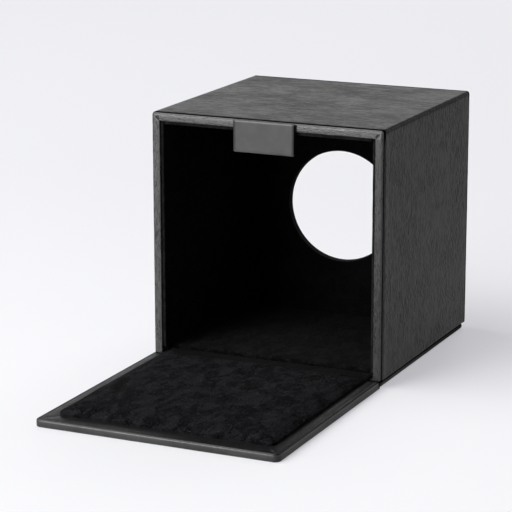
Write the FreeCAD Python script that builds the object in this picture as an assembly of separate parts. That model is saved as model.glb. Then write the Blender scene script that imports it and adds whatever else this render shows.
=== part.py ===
"""Case of a watch winder: a covered board box with a fold-down flap, a round drive hole and a closing tab.

Millimetres. X runs across the front, Y runs from the front to the back, Z is up.
The origin is the centre of the case's underside.
"""

import FreeCAD, Part
import os

V = FreeCAD.Vector

# Driving dimensions
CASE_W = 120.0          # width over the covered side walls
CASE_D = 118.0          # depth over the covered side walls
CASE_H = 123.5          # height from the table to the top face
BOARD_T = 3.0           # grey board in the walls
WRAP_T = 0.5            # leatherette cover
CORNER_R = 1.6          # rounding of the long top edges, seen from the front
EDGE_R = 1.5            # rounding of the front and rear edges
HEEL_R = 3.0            # rounding of the walls' lower rear corners
TURN_IN = 14.0          # cover folded in behind the front edges
BASE_T = 2.1            # base slab with its cover
BASE_INSET = 0.5        # base slab set in from the side walls
BASE_REAR_INSET = 7.0   # base slab set in from the rear
BASE_SEAM = 0.7         # dark seam between base slab and walls
RECESS_D = 20.5         # open space behind the partition
PARTITION_T = 3.0       # board with the round hole
PARTITION_VELVET_T = 0.7
HOLE_R = 28.7           # clear radius of the round hole
HOLE_EDGE_T = 0.4       # strip round the inside of the hole
CLEAT_W = 5.0           # square strips behind the partition
LINING_T = 2.0          # velvet on card, sides and top
LINING_SET_BACK = 1.0   # linings start behind the front plane
FLOOR_LINING_T = 2.6    # velvet on card, floor
FLOOR_LINING_FRONT = 8.0
FLAP_T = 3.6            # flap with its cover
FLAP_REVEAL = 2.8       # front frame left bare above the closed flap
FLAP_GAP = 0.6          # front plane to the root edge of the flap
FLAP_SIDE_INSET = 0.05  # flap narrower than the case on each side
FLAP_CORNER_R = 2.0
FLAP_EDGE_R = 1.1
PAD_ROOT_GAP = 2.5      # front plane to the pad's root edge
PAD_T = 3.4             # pad height from the flap to its crown
PAD_CARD_T = 1.0
PAD_SKIN_T = 0.5
PAD_CORNER_R = 3.5
STRIP_T = 0.5           # cloth of the hinge
STRIP_GLUE = 10.0       # cloth glued in under pad and floor lining
TAB_W = 31.2
TAB_DROP = 15.0         # tab from top to bottom
TAB_T = 1.6
TAB_STAND_OFF = 0.35    # air between the tab and the front frame
TAB_CORNER_R = 0.8
TONGUE_INSET = 0.7      # tongue narrower than the tab on each side
TONGUE_L = 12.0         # tongue glued in behind the front plane
MAGNET_R = 4.0
MAGNET_T = 0.8
MAGNET_EDGE = 1.0       # leather left under the magnet
DISC_R = 5.0
DISC_T = 1.0

# Clearances
FIT = 0.1               # between glued pieces that were cut to size
HINGE_AIR = 0.3         # between the closed flap and the front frame
TAB_AIR = 0.7           # between the closed flap's top and the tab's root
PAD_SIDE_AIR = 0.6      # between the closed pad and the side linings
PAD_TOP_AIR = 6.0       # between the closed pad and the top lining
TONGUE_AIR = 0.15       # tongue's end behind the front plane
REACH = 5.0             # how far cutting shapes run past the part
TINY = 1e-6             # two places closer than this are the same
SOFT_SHARE = 0.35       # rounding of a velvet panel's front, as a share of its thickness

# Pad profile: share of the height, and how far the outline is drawn in there
PAD_PROFILE = [(0.0, 0.0), (0.42, 0.0), (0.66, 0.4), (0.82, 1.2), (0.92, 2.8), (0.97, 6.0), (1.0, 20.0)]

# Derived places
X_OUT = CASE_W / 2
X_BOARD = X_OUT - WRAP_T - BOARD_T
X_IN = X_BOARD - WRAP_T
X_LINING = X_IN - LINING_T
Y_F = -CASE_D / 2
Y_R = CASE_D / 2
Z_WALL = BASE_T + BASE_SEAM
Z_BOARD = CASE_H - WRAP_T - BOARD_T
Z_IN = Z_BOARD - WRAP_T
Z_FLOOR = FLAP_T
Z_LINING = Z_FLOOR + FLOOR_LINING_T
Y_PART_R = Y_R - RECESS_D
Y_PART_F = Y_PART_R - PARTITION_T
Y_VELVET = Y_PART_F - PARTITION_VELVET_T
HOLE_Z = (Z_WALL + CASE_H) / 2
HINGE_Y = Y_F - HINGE_AIR
FLAP_TOP_CLOSED = CASE_H - FLAP_REVEAL
FLAP_FREE = HINGE_Y - (FLAP_TOP_CLOSED - FLAP_T)
PAD_X = X_LINING - PAD_SIDE_AIR
PAD_FREE = HINGE_Y - (Z_IN - LINING_T - PAD_TOP_AIR - FLAP_T)
PAD_ROOT = Y_F - PAD_ROOT_GAP
TAB_R = TAB_T / 2
TAB_AXIS_Y = Y_F - TAB_STAND_OFF - TAB_R
TAB_AXIS_Z = FLAP_TOP_CLOSED + TAB_AIR + TAB_R
TAB_LOW_Z = TAB_AXIS_Z + TAB_R - TAB_DROP
MAGNET_Z = TAB_LOW_Z + MAGNET_R + MAGNET_EDGE
DISC_Y = HINGE_Y - (MAGNET_Z - FLAP_T)


def box(x0, x1, y0, y1, z0, z1):
    """Solid between two corners."""
    return Part.makeBox(x1 - x0, y1 - y0, z1 - z0, V(x0, y0, z0))


def prism(points, along):
    """Flat polygon pushed along a vector."""
    wire = Part.makePolygon(points + [points[0]])
    return Part.Face(wire).extrude(along)


def tidy(shape):
    """One clean solid out of a boolean result."""
    shape = shape.removeSplitter()
    return shape.Solids[0] if len(shape.Solids) == 1 else shape


def save(name, shape):
    """Write one node."""
    shape = tidy(shape)
    if not shape.Solids or not shape.isValid():
        raise ValueError(name + " is not a valid solid")
    shape.exportStep("parts/" + name + ".step")


def edges_where(shape, test):
    """Edges whose middle point passes a test."""
    return [e for e in shape.Edges if test(e.CenterOfMass)]


def rounded_plate(x0, x1, y0, y1, z0, z1, corner_r, edge_r, both=True):
    """Flat plate with rounded plan corners and soft rims; both=False leaves the top rim sharp."""
    plate = box(x0, x1, y0, y1, z0, z1)
    upright = [e for e in plate.Edges if abs(e.BoundBox.ZLength - (z1 - z0)) < TINY]
    plate = plate.makeFillet(corner_r, upright)
    def rim(p):
        return abs(p.z - z0) < TINY or (both and abs(p.z - z1) < TINY)
    return plate.makeFillet(edge_r, edges_where(plate, rim))


def sleeve(skin):
    """Three-sided wall solid (left, top, right), drawn in by skin on every covered side."""
    xo = X_OUT - skin
    xi = X_IN + skin
    zi = Z_IN + skin
    zt = CASE_H - skin
    zb = Z_WALL + skin
    yf = Y_F + skin
    yr = Y_R - skin
    body = box(-xo, xo, yf, yr, zb, zt)
    body = body.cut(box(-xi, xi, yf - REACH, yr + REACH, zb - REACH, zi))
    heels = edges_where(body, lambda p: abs(p.y - yr) < TINY and abs(p.z - zb) < TINY)
    body = body.makeFillet(HEEL_R - skin, heels)
    tops = edges_where(body, lambda p: abs(abs(p.x) - xo) < TINY and abs(p.z - zt) < TINY)
    feet = edges_where(body, lambda p: abs(abs(p.x) - xo) < TINY and abs(p.z - zb) < TINY)
    body = body.makeFillet(CORNER_R - skin, tops + feet)
    def outer_rim(p):
        end = abs(p.y - yf) < TINY or abs(p.y - yr) < TINY
        outside = abs(p.x) > xo - CORNER_R or p.z > zt - CORNER_R
        return end and outside and p.z > zb + TINY
    return body.makeFillet(EDGE_R - skin, edges_where(body, outer_rim))


def side_zone(sign):
    """Everything that belongs to one side wall, up to the mitre at the top corner."""
    far = X_OUT + REACH
    inner = X_IN - REACH
    outline = [(far, -REACH), (far, CASE_H + REACH), (inner, Z_IN - REACH), (inner, -REACH)]
    return prism([V(sign * x, Y_F - REACH, z) for x, z in outline], V(0, CASE_D + 2 * REACH, 0))


def top_zone():
    """Everything that belongs to the top wall, between the two mitres."""
    far = X_OUT + REACH
    inner = X_IN - REACH
    high = CASE_H + REACH
    low = Z_IN - REACH
    outline = [(far, high), (-far, high), (-inner, low), (inner, low)]
    return prism([V(x, Y_F - REACH, z) for x, z in outline], V(0, CASE_D + 2 * REACH, 0))


def outer_zone(place, along):
    """Outer cover of one wall: the sheet outside the board, cut at 45 degrees at the front and rear edges."""
    mid = WRAP_T + BOARD_T / 2
    outline = [(REACH, Y_F - REACH), (-mid, Y_F + mid), (-mid, Y_R - mid), (REACH, Y_R + REACH)]
    return prism([place(u, y) for u, y in outline], along)


def front_zone(place, along):
    """Front band of one wall: the front edge and the fold behind it."""
    mid = WRAP_T + BOARD_T / 2
    inner = -(2 * WRAP_T + BOARD_T + REACH)
    fold = Y_F + TURN_IN
    outline = [(REACH, Y_F - REACH), (-mid, Y_F + mid), (-mid, fold), (inner, fold), (inner, Y_F - REACH)]
    return prism([place(u, y) for u, y in outline], along)


def rear_zone(place, along):
    """Rear band of one wall: the rear edge and the fold up to the partition."""
    mid = WRAP_T + BOARD_T / 2
    inner = -(2 * WRAP_T + BOARD_T + REACH)
    fold = Y_PART_R
    outline = [(REACH, Y_R + REACH), (-mid, Y_R - mid), (-mid, fold), (inner, fold), (inner, Y_R + REACH)]
    return prism([place(u, y) for u, y in outline], along)


def build_walls():
    """Boards, outer covers and edge bands of the three walls, and the tab's tongue under the top cover."""
    core = sleeve(WRAP_T)
    skin = sleeve(0.0).cut(core)
    under = box(-X_OUT - REACH, X_OUT + REACH, Y_F + WRAP_T, Y_R - WRAP_T, Z_WALL - REACH, Z_WALL + WRAP_T)
    tongue_x = TAB_W / 2 - TONGUE_INSET
    z0 = CASE_H - 2 * WRAP_T
    z1 = CASE_H - WRAP_T
    tongue = box(-tongue_x, tongue_x, Y_F + TONGUE_AIR, Y_F + TONGUE_L, z0, z1)
    slot = box(-tongue_x - FIT, tongue_x + FIT, Y_F - REACH, Y_F + TONGUE_L + FIT, z0, z1)
    top_half = box(-X_OUT, X_OUT, Y_F, Y_R, Z_BOARD, CASE_H)
    save("top_board", core.common(top_half).cut(slot))
    save("tab_anchor", tongue)
    up = V(0, 0, CASE_H + 2 * REACH)
    for side, sign in (("left", -1), ("right", 1)):
        def place(u, y, s=sign):
            return V(s * (X_OUT + u), y, -REACH)
        half = box(0, X_OUT, Y_F, Y_R, 0, Z_BOARD) if sign > 0 else box(-X_OUT, 0, Y_F, Y_R, 0, Z_BOARD)
        save(side + "_board", core.common(half))
        wall_skin = skin.common(side_zone(sign))
        foot = wall_skin.common(under)
        save("wrap_" + side, wall_skin.common(outer_zone(place, up)).fuse(foot))
        save("band_front_" + side, wall_skin.common(front_zone(place, up)).cut(under))
        save("band_rear_" + side, wall_skin.common(rear_zone(place, up)).cut(under))
    across = V(CASE_W + 2 * REACH, 0, 0)
    def over(u, y):
        return V(-X_OUT - REACH, y, CASE_H + u)
    top_skin = skin.common(top_zone())
    save("wrap_top", top_skin.common(outer_zone(over, across)).cut(slot))
    save("band_front_top", top_skin.common(front_zone(over, across)).cut(slot))
    save("band_rear_top", top_skin.common(rear_zone(over, across)))


def build_base():
    """Base slab with its cover, and the floor card between the walls."""
    x = X_OUT - BASE_INSET
    y0 = Y_F + BASE_INSET
    y1 = Y_R - BASE_REAR_INSET
    slab = rounded_plate(-x, x, y0, y1, 0, BASE_T, CORNER_R, WRAP_T, both=False)
    card = box(-x + WRAP_T, x - WRAP_T, y0 + WRAP_T, y1 - WRAP_T, WRAP_T, BASE_T)
    upright = [e for e in card.Edges if abs(e.BoundBox.ZLength - (BASE_T - WRAP_T)) < TINY]
    card = card.makeFillet(CORNER_R - WRAP_T, upright)
    save("base_board", card)
    save("base_wrap", slab.cut(card))
    save("floor_board", box(-X_IN + FIT, X_IN - FIT, y0, y1, BASE_T, Z_FLOOR))


def build_partition():
    """Board with the round hole, its velvet, the strip in the hole and the cleats behind it."""
    x = X_BOARD - FIT
    z1 = Z_BOARD - FIT
    length = Y_PART_R - Y_VELVET
    back = V(0, 1, 0)
    hole = Part.makeCylinder(HOLE_R + HOLE_EDGE_T, length, V(0, Y_VELVET, HOLE_Z), back)
    clear = Part.makeCylinder(HOLE_R, length, V(0, Y_VELVET, HOLE_Z), back)
    floor = Z_FLOOR + FIT
    save("partition_board", box(-x, x, Y_PART_F, Y_PART_R, floor, z1).cut(hole))
    save("partition_lining", box(-x, x, Y_VELVET, Y_PART_F, floor, z1).cut(hole))
    save("hole_edge", hole.cut(clear))
    y1 = Y_PART_R + CLEAT_W
    high = Z_IN - CLEAT_W - FIT
    save("cleat_left", box(-X_IN, -X_IN + CLEAT_W, Y_PART_R, y1, floor, high))
    save("cleat_right", box(X_IN - CLEAT_W, X_IN, Y_PART_R, y1, floor, high))
    save("cleat_top", box(-X_IN, X_IN, Y_PART_R, y1, Z_IN - CLEAT_W, Z_IN))


def soft_front(panel, y):
    """Round the edges of a velvet panel where the cloth folds round its front end."""
    front = edges_where(panel, lambda p: abs(p.y - y) < TINY)
    return panel.makeFillet(LINING_T * SOFT_SHARE, front)


def build_linings():
    """Velvet-covered cards on the floor, the side walls and the top wall."""
    back = Y_VELVET - FIT
    y_side = Y_F + LINING_SET_BACK
    y_floor = Y_F + FLOOR_LINING_FRONT
    floor = soft_front(box(-X_IN + FIT, X_IN - FIT, y_floor, back, Z_FLOOR, Z_LINING), y_floor)
    floor = floor.cut(box(-X_OUT, X_OUT, Y_F, y_floor + STRIP_GLUE + FIT, 0, Z_FLOOR + STRIP_T))
    save("lining_floor", floor)
    z0 = Z_LINING + FIT
    save("lining_left", soft_front(box(-X_IN, -X_LINING, y_side, back, z0, Z_IN), y_side))
    save("lining_right", soft_front(box(X_LINING, X_IN, y_side, back, z0, Z_IN), y_side))
    top = box(-X_LINING + FIT, X_LINING - FIT, y_side, back, Z_IN - LINING_T, Z_IN)
    save("lining_top", soft_front(top, y_side))


def pad_ring(z, inset):
    """Rounded rectangle at one height of the pad."""
    x = PAD_X - inset
    a = PAD_FREE + inset
    b = PAD_ROOT - inset
    r = PAD_CORNER_R
    s = r * (1 - 0.5 ** 0.5)
    def arc(p, q, t):
        return Part.Arc(p, q, t).toShape()
    def line(p, q):
        return Part.LineSegment(p, q).toShape()
    parts = [
        line(V(-x + r, a, z), V(x - r, a, z)),
        arc(V(x - r, a, z), V(x - s, a + s, z), V(x, a + r, z)),
        line(V(x, a + r, z), V(x, b - r, z)),
        arc(V(x, b - r, z), V(x - s, b - s, z), V(x - r, b, z)),
        line(V(x - r, b, z), V(-x + r, b, z)),
        arc(V(-x + r, b, z), V(-x + s, b - s, z), V(-x, b - r, z)),
        line(V(-x, b - r, z), V(-x, a + r, z)),
        arc(V(-x, a + r, z), V(-x + s, a + s, z), V(-x + r, a, z)),
    ]
    return Part.Wire(parts)


def pad_form(skin):
    """Soft pad shape: upright foot, drawn-in shoulder and a low crown, all drawn in by skin."""
    rise = PAD_T - skin
    rings = [pad_ring(FLAP_T + rise * share, skin + inset) for share, inset in PAD_PROFILE]
    return Part.makeLoft(rings, True, True)


def build_pad():
    """Card, foam and suede cover of the flap's pad."""
    outer = pad_form(0.0)
    inner = pad_form(PAD_SKIN_T)
    low = box(-X_OUT, X_OUT, FLAP_FREE, Y_F, 0, FLAP_T + PAD_CARD_T)
    root = box(-X_OUT, X_OUT, PAD_ROOT - STRIP_GLUE - FIT, Y_F, 0, FLAP_T + STRIP_T)
    save("pad_board", inner.common(low).cut(root))
    save("pad_foam", inner.cut(low))
    save("pad_cover", outer.cut(inner).cut(root))


def build_flap():
    """Board, cover, filler paper and steel disc of the flap."""
    x = X_OUT - FLAP_SIDE_INSET
    y1 = Y_F - FLAP_GAP
    t = WRAP_T
    cover = rounded_plate(-x, x, FLAP_FREE, y1, 0, FLAP_T, FLAP_CORNER_R, FLAP_EDGE_R)
    core = (-x + t, x - t, FLAP_FREE + t, y1 - t, t, FLAP_T - t)
    board = rounded_plate(*core, FLAP_CORNER_R - t, FLAP_EDGE_R - t)
    a = TURN_IN
    window = box(-x + a, x - a, FLAP_FREE + a, y1 - a, FLAP_T - t, FLAP_T + REACH)
    disc = Part.makeCylinder(DISC_R, DISC_T, V(0, DISC_Y, t))
    save("flap_wrap", cover.cut(board).cut(window))
    save("flap_board", board.cut(disc))
    save("flap_disc", disc)
    save("flap_filler", box(-x + a + FIT, x - a - FIT, FLAP_FREE + a + FIT, y1 - a - FIT, FLAP_T - t, FLAP_T))


def build_hinge():
    """Cloth strip that joins the floor card to the flap."""
    x = X_LINING
    y0 = PAD_ROOT - STRIP_GLUE
    y1 = Y_F + FLOOR_LINING_FRONT + STRIP_GLUE
    save("hinge_strip", box(-x, x, y0, y1, Z_FLOOR, Z_FLOOR + STRIP_T))


def build_tab():
    """Two leather faces with a flat magnet between them, rounded about the axis that the tab lifts on."""
    x = TAB_W / 2
    back = TAB_AXIS_Y + TAB_R
    front = TAB_AXIS_Y - TAB_R
    plate = box(-x, x, front, back, TAB_LOW_Z, TAB_AXIS_Z)
    low = edges_where(plate, lambda p: abs(abs(p.x) - x) < TINY and abs(p.z - TAB_LOW_Z) < TINY)
    plate = plate.makeFillet(TAB_CORNER_R, low)
    root = Part.makeCylinder(TAB_R, TAB_W, V(-x, TAB_AXIS_Y, TAB_AXIS_Z), V(1, 0, 0))
    whole = plate.fuse(root).removeSplitter()
    magnet = Part.makeCylinder(MAGNET_R, MAGNET_T, V(0, TAB_AXIS_Y - MAGNET_T / 2, MAGNET_Z), V(0, 1, 0))
    face = box(-CASE_W, CASE_W, front - REACH, TAB_AXIS_Y, 0, CASE_H + REACH)
    save("tab_front", whole.common(face).cut(magnet))
    save("tab_back", whole.cut(face).cut(magnet))
    save("tab_magnet", magnet)


os.makedirs("parts", exist_ok=True)
build_walls()
build_base()
build_partition()
build_linings()
build_flap()
build_pad()
build_hinge()
build_tab()
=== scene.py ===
"""Looks of the open watch box: its leatherette, velvet, suede pad and bare pull tab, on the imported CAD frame.

Shapes are built in millimetres in the part's own frame (X across, Y from the front to the back, Z up, with
the origin under the middle of the case) and become metres when a piece is finished.
"""

import sys
import logging
import math
from collections.abc import Callable, Iterable
from dataclasses import dataclass, replace
from enum import Enum
from functools import cache

import bmesh
import bpy
from mathutils import Matrix, Vector, noise


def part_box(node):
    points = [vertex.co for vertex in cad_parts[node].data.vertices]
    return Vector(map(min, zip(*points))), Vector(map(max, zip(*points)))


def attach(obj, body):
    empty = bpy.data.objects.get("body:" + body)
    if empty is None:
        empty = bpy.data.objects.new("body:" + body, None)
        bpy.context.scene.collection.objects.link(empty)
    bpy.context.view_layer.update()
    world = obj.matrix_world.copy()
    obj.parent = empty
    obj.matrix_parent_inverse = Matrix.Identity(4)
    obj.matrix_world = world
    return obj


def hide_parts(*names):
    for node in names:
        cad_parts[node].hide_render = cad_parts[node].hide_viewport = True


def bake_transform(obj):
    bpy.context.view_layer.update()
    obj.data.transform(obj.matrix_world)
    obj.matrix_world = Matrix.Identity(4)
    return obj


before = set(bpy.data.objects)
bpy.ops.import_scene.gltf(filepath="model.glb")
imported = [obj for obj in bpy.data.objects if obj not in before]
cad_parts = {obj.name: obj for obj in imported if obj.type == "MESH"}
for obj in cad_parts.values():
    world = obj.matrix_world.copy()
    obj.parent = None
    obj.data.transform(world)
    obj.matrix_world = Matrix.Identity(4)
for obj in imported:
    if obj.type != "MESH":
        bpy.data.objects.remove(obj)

LOG = logging.getLogger("watch_box")
CASE = "case"
FLAP = "flap"
TAB = "tab"
MM = 0.001
# Points closer than this, in millimetres, lie at the same place
NEAR = 1e-4
# Points closer than this, in millimetres, are joined in a finished piece
WELD = 0.01
# Edges that bend by more than this, in degrees, are sharp
CREASE = 40.0
# Where most values of a cloud lie
SPREAD = (0.30, 0.70)

Colour = tuple[float, float, float]
Point = tuple[float, float, float]
Span = tuple[float, float]
Shares = tuple[float, ...]
Material = bpy.types.Material
Piece = bpy.types.Object
Verts = list[bmesh.types.BMVert]
Edges = list[bmesh.types.BMEdge]


def grey(level: float) -> Colour:
    """A neutral colour."""
    return level, level, level


class Value:
    """A socket of a material's node tree that takes part in Python expressions."""

    def __init__(self, graph: "Graph", socket: bpy.types.NodeSocket) -> None:
        """Wraps one output socket."""
        self.graph = graph
        self.socket = socket

    def __add__(self, other: "Value | float") -> "Value":
        """Sum of two values."""
        return self.graph.math("ADD", self, other)

    def __sub__(self, other: "Value | float") -> "Value":
        """This value less another."""
        return self.graph.math("SUBTRACT", self, other)

    def __rsub__(self, other: float) -> "Value":
        """A number less this value."""
        return self.graph.math("SUBTRACT", other, self)

    def __mul__(self, other: "Value | float") -> "Value":
        """Product of two values."""
        return self.graph.math("MULTIPLY", self, other)

    __radd__ = __add__
    __rmul__ = __mul__

    def ramp(self, low: float, high: float) -> "Value":
        """Smooth rise from 0 at low to 1 at high."""
        return self.graph.add("MapRange", {"interpolation_type": "SMOOTHSTEP"},
                              {"Value": self, "From Min": low, "From Max": high})


class Graph:
    """The node tree of a material or of the world."""

    def __init__(self, owner: Material | bpy.types.World) -> None:
        """Starts the owner's node tree afresh."""
        owner.use_nodes = True
        self.owner = owner
        self.tree = owner.node_tree
        self.tree.nodes.clear()

    @classmethod
    def named(cls, name: str) -> "Graph":
        """Graph of a new material of that name."""
        return cls(bpy.data.materials.new(name))

    def add(self, kind: str, settings: dict | None = None, inputs: dict | None = None,
            out: int | str = 0) -> Value | None:
        """Adds one node.

        Args:
            kind: the node's type, without its ShaderNode prefix.
            settings: properties of the node, set before its sockets.
            inputs: numbers, colours, vectors or values for its sockets, by name or place.
            out: the output that is wanted.

        Returns:
            That output, wrapped, or None where the node has no outputs.
        """
        node = self.tree.nodes.new("ShaderNode" + kind)
        for key, value in (settings or {}).items():
            setattr(node, key, value)
        for key, value in (inputs or {}).items():
            if isinstance(value, Value):
                self.tree.links.new(value.socket, node.inputs[key])
            else:
                node.inputs[key].default_value = value
        return Value(self, node.outputs[out]) if len(node.outputs) else None

    def math(self, operation: str, a: Value | float, b: Value | float) -> Value:
        """One Math node on two values."""
        return self.add("Math", {"operation": operation}, {0: a, 1: b})

    def mix(self, a: Value | Colour, b: Value | Colour, share: Value | float) -> Value:
        """Colour that goes from a to b with share."""
        ends = [x if isinstance(x, Value) else (*x, 1.0) for x in (a, b)]
        return self.add("Mix", {"data_type": "RGBA"}, {0: share, 6: ends[0], 7: ends[1]}, out=2)

    def stored(self, name: str) -> Value:
        """A number that the piece's points carry."""
        return self.add("Attribute", {"attribute_name": name}, out="Fac")

    def place(self, sizes: Point) -> Value:
        """Object coordinates, counted in steps of those millimetres."""
        stretch = tuple(1.0 / (MM * size) for size in sizes)
        return self.add("Mapping", {}, {"Vector": self.add("TexCoord", out="Object"), "Scale": stretch})

    def cloud(self, cell: float | Point, detail: float = 3.0, rough: float = 0.55,
              twist: float = 0.0) -> Value:
        """Noise over the surface.

        Args:
            cell: size of its patches in millimetres, or one size for each axis.
            detail: how many finer layers it has.
            rough: how strong those layers are.
            twist: how far it is distorted.

        Returns:
            A value that stays round 0.5.
        """
        place = self.place(cell if isinstance(cell, tuple) else (cell,) * 3)
        return self.add("TexNoise", {}, {"Vector": place, "Scale": 1.0, "Detail": detail, "Roughness": rough,
                                         "Distortion": twist})

    def cells(self, size: float) -> Value:
        """Rounded cells of that size in millimetres, 0 at the middle of each."""
        return self.add("TexVoronoi", {"feature": "SMOOTH_F1"},
                        {"Vector": self.place((size,) * 3), "Scale": 1.0, "Smoothness": 0.4})

    def bump(self, height: Value, depth: float) -> Value:
        """Normal that follows a height of that depth in millimetres."""
        return self.add("Bump", {}, {"Height": height, "Distance": depth * MM, "Strength": 1.0})

    def rays(self, *kinds: str) -> Value:
        """Tells rays apart.

        Args:
            kinds: names of the kinds that are wanted.

        Returns:
            1 for a ray of one of those kinds, and 0 for any other.
        """
        share = self.add("LightPath", out=f"Is {kinds[0]} Ray")
        for kind in kinds[1:]:
            share = self.math("MAXIMUM", share, self.add("LightPath", out=f"Is {kind} Ray"))
        return share

    def shader(self, inputs: dict, dark: Colour = grey(0.0), share: Value | None = None) -> Material:
        """Closes the material with a Principled shader.

        Args:
            inputs: the shader's inputs.
            dark: matt colour painted over it as shade.
            share: how much of that painted shade shows, or None for none.

        Returns:
            The finished material.
        """
        surface = self.add("BsdfPrincipled", {}, inputs)
        if share is not None:
            matt = self.add("BsdfDiffuse", {}, {"Color": (*dark, 1.0)})
            surface = self.add("MixShader", {}, {0: share, 1: surface, 2: matt})
        self.add("OutputMaterial", {}, {"Surface": surface})
        return self.owner


class Grain(Enum):
    """The axis that a material's streaks follow."""

    ACROSS = 0
    DEEP = 1
    UPRIGHT = 2

    def sizes(self, length: float, width: float) -> Point:
        """Sizes along the three axes of a streak that follows this one."""
        return tuple(length if axis == self.value else width for axis in range(3))


@dataclass(frozen=True)
class Leatherette:
    """Charcoal leatherette with a streaked grain, fine pebbling, a painted highlight on rubbed edges and
    painted shade in seams.
    """

    name: str = "leatherette"
    slot: str = "leatherette"
    grain: Grain = Grain.ACROSS
    dark: Colour = grey(0.003)
    light: Colour = (0.020, 0.020, 0.019)
    # Rubbed edges: lighter as wear, and as a painted highlight on rims and edges
    rubbed_highlight: Colour = grey(0.050)
    # Matt colour of the painted shade in seams, creases and dark edge lines
    seam: Colour = grey(0.004)
    streak_length: float = 8.0
    streak_width: float = 2.6
    fibre: float = 0.33
    patch: float = 26.0
    pebble: float = 0.55
    relief: float = 0.15
    streaked: float = 0.9
    netted: float = 0.3
    patchy: float = 0.22
    flattened: float = 0.94
    roughness: float = 0.38
    specular: float = 0.50
    coat: float = 0.0

    def material(self) -> Material:
        """Builds the finish."""
        g = Graph.named(self.name)
        sizes = self.grain.sizes(self.streak_length, self.streak_width)
        streak = g.cloud(sizes, detail=4.0, rough=0.62, twist=0.35).ramp(*SPREAD)
        fibre = g.cloud(tuple(s * self.fibre for s in sizes), detail=2.0).ramp(0.32, 0.68)
        patch = g.cloud(self.patch, detail=2.0).ramp(*SPREAD)
        tone = streak * 0.50 + fibre * (0.50 - self.patchy) + patch * self.patchy
        depth = g.stored("seam")
        # Wear and a painted highlight where the seam mark is shallow
        rub_highlight = depth.ramp(0.03, 0.22) * (1.0 - depth.ramp(0.25, 0.55)) * (0.35 + 0.65 * patch)
        # Painted shade: the matt dark colour where the seam mark is deep or the shade mark is set
        painted_shade_share = g.math("MAXIMUM", depth.ramp(0.35, 0.80), g.stored("shade"))
        height = streak * (0.3 + 0.7 * patch) * self.streaked + fibre * 0.4
        height = height + g.cells(self.pebble) * (1.2 - patch) * self.netted
        inputs = {
            "Base Color": g.mix(g.mix(self.dark, self.light, tone), self.rubbed_highlight, rub_highlight),
            "Roughness": self.roughness - 0.12 + 0.24 * tone - 0.06 * rub_highlight,
            "Specular IOR Level": self.specular,
            "Normal": g.bump(height * (1.0 - g.stored("pressed") * self.flattened), self.relief),
        }
        if self.coat:
            inputs |= {"Coat Weight": tone.ramp(0.25, 0.75) * self.coat, "Coat Roughness": self.roughness}
        return g.shader(inputs, self.seam, painted_shade_share)


@dataclass(frozen=True)
class Pile:
    """Black velvet or suede: a short pile with brushed patches, lint and a soft sheen."""

    name: str
    slot: str
    dark: Colour
    light: Colour
    patch: float = 9.0
    nap: float = 0.35
    lint: float = 1.2
    relief: float = 0.12
    sheen: float = 0.12
    gloss: float = 0.08
    # Painted highlight on the front lips of the lining cards
    lip: Colour = (0.020, 0.020, 0.021)

    def material(self) -> Material:
        """Builds the finish."""
        g = Graph.named(self.name)
        patches = Grain.DEEP.sizes(self.patch * 1.8, self.patch)
        brushed = g.cloud(patches, detail=5.0, rough=0.65, twist=0.8).ramp(0.40, 0.62)
        nap = g.cloud(Grain.DEEP.sizes(self.nap * 2.0, self.nap), detail=2.0, rough=0.7)
        lint = g.cloud(Grain.DEEP.sizes(self.lint + 1.0, self.lint), detail=1.0, twist=1.5).ramp(0.66, 0.74)
        colour = g.mix(self.dark, self.light, brushed * 0.6 + nap.ramp(0.40, 0.60) * 0.4)
        colour = g.mix(colour, tuple(3.0 * c for c in self.light), lint * 0.5)
        # Painted highlight: front lips lighter where the seam mark is set
        colour = g.mix(colour, self.lip, g.stored("seam").ramp(0.2, 0.8) * (0.4 + 0.6 * brushed))
        return g.shader({
            "Base Color": colour,
            "Roughness": 0.9 + 0.1 * brushed,
            "Specular IOR Level": self.gloss,
            "Sheen Weight": self.sheen,
            "Sheen Roughness": 0.45,
            "Sheen Tint": (0.55, 0.55, 0.60, 1.0),
            "Normal": g.bump(nap + brushed * 0.5, self.relief),
        })


@dataclass(frozen=True)
class SmoothLeather:
    """Smooth mid-grey leather with faint pores, a painted highlight on the fold and painted shade on its sides.
    """

    name: str = "tab_leather"
    slot: str = "tab_leather"
    dark: Colour = grey(0.062)
    light: Colour = (0.086, 0.086, 0.085)
    # Painted highlight on the fold at the root
    rubbed_highlight: Colour = grey(0.25)
    # Matt colour of the painted shade on the side faces
    cut: Colour = grey(0.010)
    patch: float = 7.0
    pore: float = 0.22
    relief: float = 0.025

    def material(self) -> Material:
        """Builds the finish."""
        g = Graph.named(self.name)
        cloudy = g.cloud(self.patch).ramp(*SPREAD)
        # Painted highlight along the fold, and painted shade on the sides through the shade mark
        fold = g.stored("seam").ramp(0.2, 0.9)
        return g.shader({
            "Base Color": g.mix(g.mix(self.dark, self.light, cloudy), self.rubbed_highlight, fold * 0.6),
            "Roughness": 0.42 + 0.12 * cloudy,
            "Specular IOR Level": 0.35,
            "Normal": g.bump(g.cells(self.pore) * 0.5 + cloudy * 0.6, self.relief),
        }, self.cut, g.stored("shade"))


@dataclass(frozen=True)
class Fibre:
    """Board, paper or stained wood: a dry fibrous stock with flecks along one axis."""

    name: str
    slot: str
    dark: Colour
    light: Colour
    grain: Grain = Grain.UPRIGHT
    length: float = 3.0
    width: float = 0.6
    patch: float = 14.0
    relief: float = 0.05
    roughness: float = 0.85

    def material(self) -> Material:
        """Builds the finish."""
        g = Graph.named(self.name)
        flecks = self.grain.sizes(self.length, self.width)
        fleck = g.cloud(flecks, detail=4.0, rough=0.65, twist=0.4).ramp(0.30, 0.72)
        patch = g.cloud(self.patch, detail=2.0).ramp(*SPREAD)
        return g.shader({
            "Base Color": g.mix(self.dark, self.light, fleck * 0.65 + patch * 0.35),
            "Roughness": self.roughness - 0.10 * fleck,
            "Specular IOR Level": 0.25,
            "Normal": g.bump(fleck, self.relief),
        })


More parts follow.
